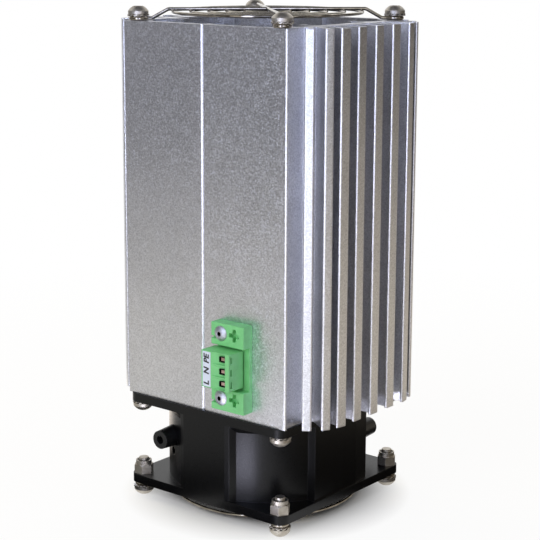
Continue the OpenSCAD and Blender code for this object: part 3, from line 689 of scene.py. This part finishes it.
def makeHeads(cfg):
    low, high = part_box("terminal_screws")
    crown = cfg["rise"] - cfg["skirt"]
    domeRadius = (cfg["radius"] ** 2 + crown ** 2) / (2 * crown)
    turns = [math.tau * i / cfg["steps"] for i in range(cfg["steps"])]
    rows = [[cfg["radius"]] * cfg["steps"]]
    levels = [0]
    inner = cfg["socket"] + cfg["lip"]
    for k in range(cfg["rings"]):
        radius = cfg["radius"] + (inner - cfg["radius"]) * k / (cfg["rings"] - 1)
        rows.append([radius] * cfg["steps"])
        levels.append(math.sqrt(domeRadius ** 2 - radius ** 2) - domeRadius + cfg["rise"])
    mouth = [socketEdge(cfg["socket"], turn) for turn in turns]
    bottom = cfg["rise"] - cfg["depth"]
    rows += [mouth, mouth, [cfg["tipShare"] * edge for edge in mouth]]
    levels += [levels[-1] - cfg["mouthDrop"], bottom, bottom - cfg["tipDrop"]]
    shape = bmesh.new()
    for middleZ in (low[2] + cfg["radius"] * mm, high[2] - cfg["radius"] * mm):
        middle = Vector(((low[0] + high[0]) / 2, low[1] + cfg["rise"] * mm, middleZ))
        loops = []
        for row, level in zip(rows, levels):
            loops.append([
                shape.verts.new(middle + Vector((edge * math.cos(turn), -level, edge * math.sin(turn))) * mm)
                for edge, turn in zip(row, turns)])
        for k, (outside, inside) in enumerate(zip(loops, loops[1:])):
            for i in range(cfg["steps"]):
                j = (i + 1) % cfg["steps"]
                face = shape.faces.new((outside[i], outside[j], inside[j], inside[i]))
                face.smooth = k < cfg["rings"]
                # the socket's walls and bottom take the dark steel: painted shade
                face.material_index = int(k > cfg["rings"])
        shape.faces.new(loops[-1]).material_index = 1
        shape.faces.new(loops[0][::-1])
    bmesh.ops.recalc_face_normals(shape, faces=shape.faces)
    mesh = keepMesh("headerScrews", shape, finishes["zincPlate"], finishes["paintedShadeSteel"])
    addPiece("headerScrews", mesh, None, "heater", ["terminal_screws"])
    print("header screws:", len(mesh.polygons), "faces")


makeHeads(headSet)

# Clamps in the wire entries: a clamp sleeve painted dark as the shade deep in the entry, with a bright bent
# plate
clampSet = {
    "poles": 3, "pitch": 4.8, "entryX": 16.9, "wide": 3, "high": 2.2,
    "from": 0.4, "to": 2.5, "play": 0.06, "sheet": 0.12,
    "plate": (0.8, 2.7), "plateUp": (-0.55, 0.94), "plateFrom": 0.6,
    "plateRound": 0.15, "roundSteps": 2,
}


def boxShape(shape, low, high, index):  # closed block between two corners
    block = bmesh.ops.create_cube(shape, size=1)["verts"]
    bmesh.ops.scale(shape, verts=block, vec=Vector(high) - Vector(low))
    bmesh.ops.translate(shape, verts=block, vec=(Vector(high) + Vector(low)) / 2)
    faces = {face for corner in block for face in corner.link_faces}
    for face in faces:
        face.material_index = index
    return block


def makeClamps(cfg):
    low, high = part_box("terminal_plug")
    front, midZ = low[1], (low[2] + high[2]) / 2
    left, right = (cfg["entryX"] + cfg["play"]) * mm, (cfg["entryX"] + cfg["wide"] - cfg["play"]) * mm
    near, far, sheet = front + cfg["from"] * mm, front + cfg["to"] * mm, cfg["sheet"] * mm
    halfHigh = (cfg["high"] / 2 - cfg["play"]) * mm
    shape = bmesh.new()
    for i in range(cfg["poles"]):
        level = midZ + (i - (cfg["poles"] - 1) / 2) * cfg["pitch"] * mm
        down, up = level - halfHigh, level + halfHigh
        boxShape(shape, (left, near, down), (left + sheet, far, up), 0)
        boxShape(shape, (right - sheet, near, down), (right, far, up), 0)
        boxShape(shape, (left + sheet, near, down), (right - sheet, far, down + sheet), 0)
        boxShape(shape, (left + sheet, near, up - sheet), (right - sheet, far, up), 0)
        plateDown, plateTop = level + cfg["plateUp"][0] * mm, level + cfg["plateUp"][1] * mm
        plateLow = (left + cfg["plate"][0] * mm, front + cfg["plateFrom"] * mm, plateDown)
        plateHigh = (left + cfg["plate"][1] * mm, far, plateTop)
        plate = boxShape(shape, plateLow, plateHigh, 1)
        plateEdges = list({edge for corner in plate for edge in corner.link_edges})
        bmesh.ops.bevel(shape, geom=plateEdges, offset=cfg["plateRound"] * mm, offset_type="OFFSET",
                        segments=cfg["roundSteps"], profile=0.5, affect="EDGES")
    mesh = keepMesh("entryClamps", shape, finishes["paintedShadeSteel"], finishes["copperedSteel"])
    addPiece("entryClamps", mesh, None, "heater")
    print("entry clamps:", len(mesh.polygons), "faces")


makeClamps(clampSet)

# Generic terminal marks on the pale strip, read upwards
markSet = {
    "marks": ("L", "N", "PE"), "pitch": 4.7, "drop": 0.7,
    "size": 3.5, "slant": 0.16, "bold": 0.04, "curveSteps": 3,
    "proud": 0.015, "lift": 0.5,  # half the print's thickness, and the share of it that lifts its middle
}


def makeMarks(cfg):
    low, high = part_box("terminal_label")
    midX, midZ = (low[0] + high[0]) / 2, (low[2] + high[2]) / 2
    upright = Matrix(((0, -1, 0, 0), (0, 0, -1, 0), (1, 0, 0, 0), (0, 0, 0, 1)))
    allMarks = bmesh.new()
    for i, letters in enumerate(cfg["marks"]):
        text = bpy.data.curves.new("mark" + letters, "FONT")
        text.body = letters
        text.size = cfg["size"] * mm
        text.shear = cfg["slant"]
        text.offset = cfg["bold"] * cfg["size"] * mm
        text.align_x = "CENTER"
        text.align_y = "CENTER"
        text.extrude = cfg["proud"] * mm
        text.resolution_u = cfg["curveSteps"]
        holder = bpy.data.objects.new("mark" + letters, text)
        scene.collection.objects.link(holder)
        ready = holder.evaluated_get(bpy.context.evaluated_depsgraph_get())
        mesh = bpy.data.meshes.new_from_object(ready)
        bpy.data.objects.remove(holder)
        markZ = midZ + ((i - (len(cfg["marks"]) - 1) / 2) * cfg["pitch"] - cfg["drop"]) * mm
        spot = (midX, low[1] - cfg["proud"] * mm * cfg["lift"], markZ)
        mesh.transform(Matrix.Translation(spot) @ upright)
        allMarks.from_mesh(mesh)
    mesh = keepMesh("terminalMarks", allMarks)
    addPiece("terminalMarks", mesh, "blackPrint", "heater")
    print("terminal marks:", ", ".join(cfg["marks"]))


makeMarks(markSet)

# Studio: a pale floor, a white surround, two soft lamps, and boards and floor cards
# that only reflections see, because they give the metal its tones
studioSet = {
    "middle": (0, 0, 0.1),
    "floor": "#f4f4f3", "floorRadius": 3, "floorSteps": 96,
    "shadowFrom": 0.036, "shadowTo": 0.06,  # the floor under the fan keeps its full shadow
    "paleTo": 0.12, "white": 0.93, "whiteFrom": 0.45,  # and turns pure white towards the surround
    "surround": 0.38,
    "boardGap": 0.002,  # boards stand just off the floor
    "lamps": (
        {"name": "keyBox", "turn": -8, "lift": 26, "away": 1.2, "size": (0.8, 0.8),
         "watts": 8, "tint": "#fbfbff"},
        {"name": "topBox", "turn": -120, "lift": 62, "away": 1.3, "size": (1.0, 0.8),
         "watts": 8, "tint": "#ffeab8"},
    ),
    "boards": (
        # the front face: grey above, paler below
        {"name": "frontLeftBoard", "turn": -48, "away": 0.16, "lean": 28, "size": (0.41, 0.6),
         "head": "#828286", "foot": "#dbd8d0", "fade": (0.0, 0.13)},
        # the black fan: cards on the floor, dark close by as painted shadow of the floor round the fan
        {"name": "frontLeftCard", "turn": -40, "away": 0.045, "lean": 89, "size": (0.15, 0.13),
         "head": "#c6c6c4", "foot": "#0c0c0e", "fade": (0.0024, 0.003)},
        {"name": "frontRightCard", "turn": 19, "away": 0.045, "lean": 89, "size": (0.032, 0.085),
         "head": "#e8e8ff", "foot": "#08080a", "fade": (0.0024, 0.0028), "strength": 11},
        {"name": "leftCard", "turn": -115, "away": 0.045, "lean": 89, "size": (0.12, 0.12),
         "head": "#fff4e8", "foot": "#1c1b1a", "fade": (0.0021, 0.0031), "strength": 2.6},
        # the darker strip of the front towards the corner
        {"name": "frontShade", "turn": -14, "away": 0.19, "lean": 28, "size": (0.11, 0.6),
         "head": "#1e1e22", "foot": "#b8b6b2", "fade": (0.0, 0.13)},
        # the side wall and the fin edges: cool and bright
        {"name": "keyEdge", "turn": 16, "away": 0.45, "lean": 0, "size": (0.1, 0.6),
         "head": "#ccd8ff", "foot": "#e6e8f4", "fade": (0.0, 0.2), "strength": 7},
        {"name": "keyBoard", "turn": 34, "away": 0.45, "lean": 0, "size": (0.19, 0.6),
         "head": "#d0dcff", "foot": "#eeeef4", "fade": (0.0, 0.2), "strength": 0.8},
        {"name": "keyFar", "turn": 50, "away": 0.45, "lean": 0, "size": (0.1, 0.6),
         "head": "#cdd6fa", "foot": "#e8e6ea", "fade": (0.0, 0.2), "strength": 3.5},
        # between the fins and behind them: dark above, warm below
        {"name": "rightBoard", "turn": 85, "away": 0.14, "lean": 30, "size": (0.13, 0.6),
         "head": "#19191d", "foot": "#d2c8b8", "fade": (0.0, 0.23)},
        {"name": "backRightBoard", "turn": 138, "away": 0.14, "lean": 30, "size": (0.44, 0.6),
         "head": "#0c0c10", "foot": "#d2c8b8", "fade": (0.0, 0.23)},
        # the floor by the fins, and the guards and screw heads from above
        {"name": "rightCard", "turn": 112, "away": 0.045, "lean": 89, "size": (0.3, 0.1),
         "head": "#33312f", "foot": "#2a2826", "fade": (0.0, 0.01)},
        {"name": "ceilingBoard", "turn": 0, "away": -0.45, "lean": 90, "rise": 0.75, "size": (0.9, 0.9),
         "head": "#4c4c50", "foot": "#4c4c50", "fade": (0.0, 1.0)},
    ),
}


def faceMiddle(cfg, middle):  # place and turn of a lamp that looks at the object
    turn, lift = math.radians(cfg["turn"]), math.radians(cfg["lift"])
    way = Vector((math.sin(turn) * math.cos(lift), -math.cos(turn) * math.cos(lift), math.sin(lift)))
    look = (-way).to_track_quat("-Z", "Y").to_matrix().to_4x4()
    return Matrix.Translation(middle + way * cfg["away"]) @ look


def standBoard(cfg, gap):  # a board that stands on its foot round the object and leans back
    lean = Matrix.Rotation(math.radians(90 - cfg["lean"]), 4, "X")
    out = Matrix.Translation((0, -cfg["away"], cfg.get("rise", gap)))
    return Matrix.Rotation(math.radians(cfg["turn"]), 4, "Z") @ out @ Matrix.Rotation(math.pi, 4, "Z") @ lean


def seenWhite(tree):  # 1 for what the camera, a reflection or a clear part sees
    path = put(tree, "ShaderNodeLightPath").outputs
    seen = put(tree, "ShaderNodeMath", links={0: path["Is Camera Ray"], 1: path["Is Glossy Ray"]},
               operation="MAXIMUM").outputs[0]
    return put(tree, "ShaderNodeMath", links={0: seen, 1: path["Is Transmission Ray"]},
               operation="MAXIMUM").outputs[0]


def makeSurround(cfg):  # dim on the object, white where it is seen
    world = bpy.data.worlds.new("paleSurround")
    tree = emptyTree(world)
    strength = put(tree, "ShaderNodeMapRange", {3: cfg["surround"], 4: 1.0}, {0: seenWhite(tree)}).outputs[0]
    glow = put(tree, "ShaderNodeBackground", {"Color": linear("#ffffff")}, {"Strength": strength})
    put(tree, "ShaderNodeOutputWorld", links={"Surface": glow.outputs[0]})
    scene.world = world


def makeFloor(cfg):  # matt paper, lifted to white where it is seen
    paper = bpy.data.materials.new("paperFloor")
    tree = emptyTree(paper)
    matt = put(tree, "ShaderNodeBsdfDiffuse", {"Color": linear(cfg["floor"])})
    lit = put(tree, "ShaderNodeEmission", {"Color": linear("#ffffff"), "Strength": 1.0})
    place = put(tree, "ShaderNodeTexCoord").outputs["Object"]
    apart = put(tree, "ShaderNodeVectorMath", links={0: place}, operation="LENGTH").outputs["Value"]
    clear = put(tree, "ShaderNodeMapRange", {1: cfg["shadowFrom"], 2: cfg["shadowTo"]}, {0: apart}).outputs[0]
    pale = put(tree, "ShaderNodeMapRange", {1: cfg["paleTo"], 2: cfg["whiteFrom"], 3: cfg["white"], 4: 1.0},
               {0: apart}).outputs[0]
    share = put(tree, "ShaderNodeMath", links={0: seenWhite(tree), 1: clear}, operation="MULTIPLY").outputs[0]
    share = put(tree, "ShaderNodeMath", links={0: share, 1: pale}, operation="MULTIPLY").outputs[0]
    both = put(tree, "ShaderNodeMixShader", links={0: share, 1: matt.outputs[0], 2: lit.outputs[0]})
    put(tree, "ShaderNodeOutputMaterial", links={"Surface": both.outputs[0]})
    shape = bmesh.new()
    bmesh.ops.create_circle(shape, cap_ends=True, radius=cfg["floorRadius"], segments=cfg["floorSteps"])
    floor = bpy.data.objects.new("floor", keepMesh("floor", shape, paper))
    scene.collection.objects.link(floor)


def hangLamp(lamp, middle):
    data = bpy.data.lights.new(lamp["name"], "AREA")
    data.shape = "RECTANGLE"
    data.size, data.size_y = lamp["size"]
    data.energy = lamp["watts"]
    data.color = linear(lamp["tint"])[:3]
    box = bpy.data.objects.new(lamp["name"], data)
    box.matrix_world = faceMiddle(lamp, middle)
    box.visible_glossy = False
    scene.collection.objects.link(box)


def makeBoard(board, gap):  # one glowing sheet that fades from its foot to its head
    wide, high = board["size"][0] / 2, board["size"][1]
    mesh = bpy.data.meshes.new(board["name"])
    mesh.from_pydata([(-wide, 0, 0), (wide, 0, 0), (wide, high, 0), (-wide, high, 0)], [], [(0, 1, 2, 3)])
    mesh.transform(standBoard(board, gap))
    felt = bpy.data.materials.new(board["name"])
    tree = emptyTree(felt)
    place = put(tree, "ShaderNodeTexCoord").outputs["Object"]
    height = put(tree, "ShaderNodeSeparateXYZ", links={"Vector": place}).outputs["Z"]
    up = put(tree, "ShaderNodeMapRange", {1: board["fade"][0], 2: board["fade"][1]}, {0: height}).outputs[0]
    tone = put(tree, "ShaderNodeMix", {6: linear(board["foot"]), 7: linear(board["head"])},
               {0: up}, data_type="RGBA").outputs[2]
    shade = put(tree, "ShaderNodeEmission", {"Strength": board.get("strength", 1)}, {"Color": tone})
    put(tree, "ShaderNodeOutputMaterial", links={"Surface": shade.outputs[0]})
    mesh.materials.append(felt)
    sheet = bpy.data.objects.new(board["name"], mesh)
    scene.collection.objects.link(sheet)
    sheet.visible_camera = False
    sheet.visible_diffuse = False
    sheet.visible_shadow = False


def makeStudio(cfg):
    makeSurround(cfg)
    makeFloor(cfg)
    for lamp in cfg["lamps"]:
        hangLamp(lamp, Vector(cfg["middle"]))
    for board in cfg["boards"]:
        makeBoard(board, cfg["boardGap"])
    print("studio:", len(cfg["lamps"]), "lamps,", len(cfg["boards"]), "boards")


makeStudio(studioSet)
